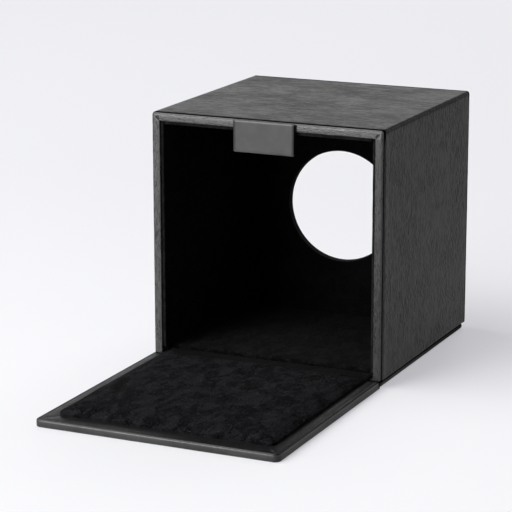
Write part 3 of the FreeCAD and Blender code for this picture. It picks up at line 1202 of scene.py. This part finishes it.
@dataclass
class FlapCover:
    """Leatherette cover of the fold-down flap, with the turned-in border round the pad."""

    corner: float = 3.0
    root_corner: float = 1.0
    under_edge: float = 0.55
    top_edge: float = 1.0
    skin: float = 0.05
    cell: float = 4.5
    sag: float = 0.05
    sag_size: float = 13.0
    sag_under: float = 1.0
    # Top edges pulled up behind the near edge
    near_swell: float = 0.17
    swell_reach: Span = (0.4, 3.0)
    # Crease round the border and folds at the corners with painted shade in them, and painted shade at the root
    crease_at: float = 1.7
    crease_half: float = 0.35
    crease_deep: float = 0.10
    crease_shade: float = 0.50
    crease_reach: Span = (24.0, 62.0)
    mitre_half: float = 0.4
    mitre_reach: float = 6.0
    mitre_shade: float = 0.45
    on_line: float = 0.02
    # Painted highlight on the sides and underside
    side_highlight: float = 0.2
    root_shade: float = 0.95
    root_reach: Span = (1.4, 3.2)

    def sheet(self) -> Shape:
        """Rounded slab, cut up where its creases and folds run.

        Returns:
            The slab, still smooth.
        """
        low, high = node_box("flap_wrap")
        shape = Shape()
        shape.block(low, high)
        for x in (low.x, high.x):
            shape.round(shape.line(2, x, low.y), self.corner, 6)
            shape.round(shape.line(2, x, high.y), self.root_corner, 4)
        shape.round(shape.level(low.z), self.under_edge, 6)
        shape.round(shape.level(high.z), self.top_edge, 6)
        creases = [self.crease_at + i * self.crease_half for i in (-1, 0, 1)]
        root = (*self.root_reach, sum(self.root_reach) / 2)
        shape.slice(1, [high.y - way for way in root])
        sides = [low.x + c for c in creases] + [high.x - c for c in creases]
        shape.slice(0, steps(low.x, high.x, self.cell) + sides)
        shape.slice(1, steps(low.y, high.y, self.cell) + [low.y + c for c in creases])
        for side, x in ((1, low.x), (-1, high.x)):
            for i in (-1, 0, 1):
                shape.cut((x + i * self.mitre_half, low.y, 0), (side, -1, 0))
        return shape

    def crease(self, shape: Shape) -> None:
        """Stores a painted highlight on the sides and painted shade at the root, swells the top edges and
        presses creases and folds in, with painted shade in them.

        Args:
            shape: the smooth slab.
        """
        low, high = node_box("flap_wrap")
        highlight_from, highlight_to = high.z - self.top_edge / 2, high.z - self.top_edge / 4
        # Painted highlight on the sides and underside, below the top rounding
        shape.mark(lambda p: self.side_highlight * fade(p.z, highlight_from, highlight_to))
        for v in shape.mesh.verts:
            v[shape.pressed] = fade(v.co.z, low.z + self.under_edge, low.z + self.skin)
            # Painted shade at the root, beside the case
            v[shape.shade] = self.root_shade * fade(high.y - v.co.y, *self.root_reach)
            drop = high.z - v.co.z
            if drop < self.top_edge:
                swell = self.near_swell * (1.0 - drop / self.top_edge)
                v.co.z += swell * fade(v.co.y - low.y, *self.swell_reach)
            if drop >= self.skin:
                continue
            side, near = min(v.co.x - low.x, high.x - v.co.x), v.co.y - low.y
            inside = min(side, near)
            if abs(inside - self.crease_at) < self.on_line:
                v.co.z -= self.crease_deep
                # Painted shade in the crease, fading away from the root
                v[shape.seam] = self.crease_shade * fade(high.y - v.co.y, *self.crease_reach)
            elif abs(side - near) < self.on_line and self.crease_at < inside < self.mitre_reach:
                v.co.z -= self.crease_deep
                # Painted shade in the corner fold
                v[shape.seam] = self.mitre_shade

    def build(self) -> None:
        """Builds the cover, with its underside no lower than the table."""
        low, high = node_box("flap_wrap")
        shape = self.sheet()
        self.crease(shape)
        top, under = high.z - self.skin, low.z + self.sag_under
        shape.ripple(self.sag, self.sag_size, lambda p: p.z > top or p.z < under)
        bottom = min(v.co.z for v in shape.mesh.verts)
        shape.turn(Matrix.Translation((0, 0, max(0.0, low.z - bottom))))
        settle(shape.piece("flap_cover", FLAP_SKIN), FLAP, FLAP_SKIN, "flap_wrap")


@dataclass
class FlapPad:
    """Suede pad of the flap: a low crown, swelled a little by the cloth solver and glued down underneath."""

    draw_in: float = 0.06
    corner: float = 3.5
    cell: float = 1.9
    foot_cell: float = 0.7
    # Share of the height by distance inside the plan
    crown: tuple[tuple[float, float], ...] = (
        (0.0, 0.42), (0.4, 0.66), (1.2, 0.82), (2.8, 0.92), (6.0, 0.97), (20.0, 1.0))
    rumple: float = 0.10
    rumple_size: float = 9.0
    rumple_from: float = 0.2
    # Edge of the crown, which wanders in and out behind a straight rim
    wave: float = 2.8
    wave_from: float = 1.2
    wave_size: float = 17.0
    wave_reach: float = 14.0
    # Cloth solver
    glued: float = 0.45
    cap: Point = (0.12, 0.12, 0.35)
    pressure: float = 4.0
    mass: float = 0.002
    frames: int = 20
    fill: float = 0.7

    def height(self, inset: float) -> float:
        """Crown of the pad.

        Args:
            inset: distance inside its plan.

        Returns:
            Share of the pad's height there.
        """
        for (near, low), (far, high) in zip(self.crown, self.crown[1:]):
            if inset < far:
                return low + (high - low) * max(0.0, inset - near) / (far - near)
        return 1.0

    def inset(self, p: Vector, low: Vector, high: Vector) -> float:
        """Distance inside the plan with its round corners.

        Args:
            p: the point.
            low: lowest corner of the pad.
            high: highest corner of the pad.

        Returns:
            That distance, below 0 outside the plan.
        """
        reach = (high - low) / 2 - Vector((self.corner, self.corner, 0.0))
        away = [abs(p[i] - (low[i] + high[i]) / 2) - reach[i] for i in (0, 1)]
        outside = math.hypot(max(away[0], 0.0), max(away[1], 0.0))
        return self.corner - outside - min(max(away), 0.0)

    def wander(self, p: Vector, low: Vector, high: Vector) -> None:
        """Draws a point of the crown in towards the middle, by more in some places than in others.

        Args:
            p: the point, which moves.
            low: lowest corner of the pad.
            high: highest corner of the pad.
        """
        behind_rim = 1.0 - closeness(self.inset(p, low, high), self.wave_from)
        for axis, along in ((0, p.y), (1, p.x)):
            middle, reach = (low[axis] + high[axis]) / 2, (high[axis] - low[axis]) / 2
            near = behind_rim * fade(reach - abs(p[axis] - middle), 0.0, self.wave_reach)
            uneven = 0.5 + 0.5 * noise.noise((along / self.wave_size, 3.0 * axis, 0.5))
            p[axis] -= math.copysign(self.wave * near * uneven, p[axis] - middle)

    def start(self) -> Piece:
        """The pad before it swells: an upright foot, a drawn-in shoulder and a low crown.

        Returns:
            The piece.
        """
        drawn = Vector((self.draw_in, self.draw_in, 0.0))
        low, high = node_box("pad_cover")
        low, high = low + drawn, high - drawn
        shape = Shape()
        shape.block(low, high)
        for x in (low.x, high.x):
            for y in (low.y, high.y):
                shape.round(shape.line(2, x, y), self.corner, 6)
        rim = [inset for inset, _ in self.crown[1:4]]
        for axis in (0, 1):
            edges = [low[axis] + i for i in rim] + [high[axis] - i for i in rim]
            shape.slice(axis, steps(low[axis], high[axis], self.cell) + edges)
        shape.slice(2, steps(low.z, high.z, self.foot_cell))
        rise = high.z - low.z
        foot = low.z + rise * self.height(0.0)
        for v in shape.mesh.verts:
            if v.co.z > high.z - NEAR:
                v.co.z = low.z + rise * self.height(self.inset(v.co, low, high))
                self.wander(v.co, low, high)
            else:
                v.co.z = low.z + (v.co.z - low.z) * (foot - low.z) / rise
        shape.ripple(self.rumple, self.rumple_size, lambda p: p.z > foot + self.rumple_from)
        bmesh.ops.triangulate(shape.mesh, faces=[f for f in shape.mesh.faces if len(f.verts) > 4])
        shape.close()
        return shape.piece("flap_pad", SUEDE)

    def swell(self, piece: Piece) -> None:
        """Blows the pad up, with no point moving further than the cap.

        Args:
            piece: the pad.
        """
        floor = node_box("pad_cover")[0].z * MM
        points = [v.co.copy() for v in piece.data.vertices]
        group = piece.vertex_groups.new(name="glued")
        group.add([i for i, p in enumerate(points) if p.z < floor + self.glued * MM], 1.0, "REPLACE")
        cloth = piece.modifiers.new("cover", "CLOTH")
        cloth.settings.use_pressure = True
        cloth.settings.uniform_pressure_force = self.pressure
        cloth.settings.mass = self.mass
        cloth.settings.vertex_group_mass = group.name
        cloth.settings.effector_weights.gravity = 0.0
        cloth.point_cache.frame_start, cloth.point_cache.frame_end = 1, self.frames
        scene = bpy.context.scene
        for step in range(1, self.frames + 1):
            scene.frame_set(step)
        moved = piece.evaluated_get(bpy.context.evaluated_depsgraph_get()).data.vertices
        places = [v.co.copy() for v in moved]
        piece.modifiers.clear()
        scene.frame_set(1)
        for vertex, start, place in zip(piece.data.vertices, points, places):
            vertex.co = start + Vector(max(-c * MM, min(c * MM, m)) for c, m in zip(self.cap, place - start))

    def build(self) -> None:
        """Builds the pad, swells it and smooths it."""
        piece = self.start()
        self.swell(piece)
        piece.data.shade_smooth()
        settle(piece, FLAP, SUEDE, "pad_cover", "pad_foam")


@dataclass
class HingeStrip:
    """Velvet-faced cloth strip that joins the floor to the flap."""

    across: int = 36
    cell: float = 1.5
    cloth: float = 0.7
    sink: float = 0.12
    sink_wide: float = 1.2
    behind: float = 1.6
    ahead: float = 2.2
    rumple: float = 0.04
    rumple_size: float = 5.0
    glued: float = 10.5

    def build(self) -> None:
        """Builds the strip, with a shallow dip where it crosses the hinge."""
        low, high = node_box("hinge_strip")
        size, middle = high - low, (low + high) / 2
        front = case_box()[0].y
        start, end = front + self.behind, front - self.ahead
        shape = Shape()
        rows = round(size.y / self.cell)
        bmesh.ops.create_grid(shape.mesh, x_segments=self.across, y_segments=rows, size=0.5)
        stretch = Matrix.Diagonal((size.x, size.y, 1.0, 1.0))
        shape.turn(Matrix.Translation((middle.x, middle.y, high.z)) @ stretch)
        for v in shape.mesh.verts:
            v.co.z -= self.sink * math.exp(-((v.co.y - (start + end) / 2) / self.sink_wide) ** 2)
        shape.ripple(self.rumple, self.rumple_size, lambda p: low.y + self.glued < p.y < high.y - self.glued)
        piece = shape.piece("hinge_cloth_strip", HINGE_CLOTH)
        thicken(piece, size.z * self.cloth)
        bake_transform(piece)
        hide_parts("hinge_strip")
        LOG.info("built %s: %d faces", piece.name, len(piece.data.polygons))


@dataclass
class PullTab:
    """Bare leather tab on the top front edge: two layers folded over at the root."""

    corner: float = 0.7
    root_r: float = 0.72
    edge: float = 0.16
    rim: float = 1.0
    cell: float = 1.5
    bow: float = 0.10
    bow_even: float = 0.6
    bow_right: float = 0.4
    # Painted highlight along the fold, and painted shade on the side faces
    fold_reach: Span = (0.25, 0.9)
    side_shade: float = 0.85

    def layer(self, node: str, front: bool) -> None:
        """One layer, with its root rounded over.

        Args:
            node: the CAD node that it stands for.
            front: whether it is the layer that shows.
        """
        low, high = node_box(node)
        face = low.y if front else high.y

        def on_rim(p: Vector) -> bool:
            """Whether a point of the face lies near the sides or the free end."""
            inner = low.x + self.rim < p.x < high.x - self.rim and low.z + self.rim < p.z
            return abs(p.y - face) < NEAR and not inner

        shape = Shape()
        shape.block(low, high)
        for x in (low.x, high.x):
            shape.round(shape.line(1, x, low.z), self.corner, 4)
        shape.round(shape.line(0, face, high.z), self.root_r, 6)
        shape.round(shape.edges(on_rim), self.edge, 3)
        for axis in (0, 2):
            shape.slice(axis, steps(low[axis], high[axis], self.cell))
        # Painted highlight along the fold at the root
        if front:
            shape.mark(lambda p: fade(high.z - p.z, *self.fold_reach))
        for v in shape.mesh.verts:
            # Painted shade on the side faces
            v[shape.shade] = self.side_shade * fade(high.x - abs(v.co.x), 0.0, self.edge)
            down = (high.z - v.co.z) / (high.z - low.z)
            v.co.y -= self.bow * down * down * (self.bow_even + self.bow_right * (v.co.x / high.x))
        settle(shape.piece(node + "_leather", TAB_LEATHER), TAB, TAB_LEATHER, node)

    def build(self) -> None:
        """Builds the two layers."""
        self.layer("tab_front", True)
        self.layer("tab_back", False)


@dataclass(frozen=True)
class Lamp:
    """A round soft light."""

    name: str
    place: Point
    size: float
    power: float
    mirrored: bool = True

    def build(self, aim: Point) -> None:
        """Sets the lamp up.

        Args:
            aim: the place that it shines at.
        """
        data = bpy.data.lights.new(self.name, "AREA")
        data.shape, data.size, data.energy = "DISK", self.size, self.power
        lamp = bpy.data.objects.new(self.name, data)
        lamp.location = self.place
        lamp.visible_glossy = self.mirrored
        lamp.rotation_mode = "QUATERNION"
        lamp.rotation_quaternion = (Vector(aim) - Vector(self.place)).to_track_quat("-Z", "Y")
        bpy.context.scene.collection.objects.link(lamp)


@dataclass
class Studio:
    """Pale floor, soft lights, sky and the camera, in metres."""

    camera_at: Point = (0.43097, -1.00178, 0.31643)
    yaw: float = -24.806
    pitch: float = -13.989
    roll: float = -0.10
    focal_pixels: float = 2244.3
    image_pixels: float = 512.0
    sensor: float = 36.0
    clip_near: float = 0.05
    clip_far: float = 60.0
    floor_half: float = 9.0
    aim: Point = (0.0, -0.03, 0.06)
    lamps: tuple[Lamp, ...] = (
        Lamp("key", (-1.50, -0.83, 2.30), 3.3, 74.0),
        Lamp("front", (-0.70, -1.55, 0.30), 1.0, 22.0),
        Lamp("backdrop", (0.0, 3.2, 2.4), 2.4, 60.0, mirrored=False),
    )
    backdrop: Colour = grey(0.84)
    ceiling: Colour = (0.05, 0.05, 0.055)
    ambient: Colour = (0.15, 0.15, 0.155)
    horizon: Span = (0.30, 0.42)

    def camera(self) -> None:
        """Camera at the photograph's place."""
        yaw, pitch, roll = (math.radians(a) for a in (self.yaw, self.pitch, self.roll))
        turn = Matrix.Rotation(-yaw, 4, "Z") @ Matrix.Rotation(math.pi / 2 + pitch, 4, "X")
        data = bpy.data.cameras.new("camera")
        data.sensor_width = self.sensor
        data.lens = self.focal_pixels / self.image_pixels * self.sensor
        data.clip_start, data.clip_end = self.clip_near, self.clip_far
        camera = bpy.data.objects.new("camera", data)
        camera.matrix_world = Matrix.Translation(self.camera_at) @ turn @ Matrix.Rotation(roll, 4, "Z")
        bpy.context.scene.collection.objects.link(camera)
        bpy.context.scene.camera = camera

    def floor(self) -> None:
        """Wide floor under the case."""
        shape = Shape()
        bmesh.ops.create_grid(shape.mesh, x_segments=1, y_segments=1, size=self.floor_half / MM)
        shape.piece("floor", PaleFloor())

    def sky(self) -> None:
        """Pale backdrop below a dark ceiling, and dim light from all round."""
        bpy.context.scene.world = world = bpy.data.worlds.new("studio")
        g = Graph(world)
        height = g.add("SeparateXYZ", {}, {"Vector": g.add("TexCoord", out="Generated")}, out="Z")
        shown = g.mix(self.backdrop, self.ceiling, height.ramp(*self.horizon))
        colour = g.mix(self.ambient, shown, g.rays("Camera", "Glossy", "Transmission"))
        g.add("OutputWorld", {}, {"Surface": g.add("Background", {}, {"Color": colour})})

    def build(self) -> None:
        """Builds the stage."""
        self.camera()
        self.floor()
        for lamp in self.lamps:
            lamp.build(self.aim)
        self.sky()
        bpy.context.scene.view_settings.view_transform = "Standard"


def dress_inner_parts() -> None:
    """Gives the CAD nodes that stay as they are their finishes."""
    WARDROBE.dress(GREY_BOARD, "left_board", "right_board", "top_board", "base_board", "flap_board",
                   "pad_board")
    WARDROBE.dress(PAPERED_BOARD, "floor_board", "partition_board")
    WARDROBE.dress(FILLER_PAPER, "flap_filler")
    WARDROBE.dress(STEEL, "flap_disc", "tab_magnet")
    WARDROBE.dress(TAB_LEATHER, "tab_anchor")


def main() -> None:
    """Builds every piece in order."""
    logging.basicConfig(level=logging.INFO, format="%(message)s", stream=sys.stdout)
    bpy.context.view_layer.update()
    Studio().build()
    dress_inner_parts()
    for group in (WallCovers(), EdgeBands(), BaseSlab(), VelvetLining(), Partition(), FlapCover(), FlapPad(),
                  HingeStrip(), PullTab()):
        group.build()


if __name__ == "__main__":
    main()
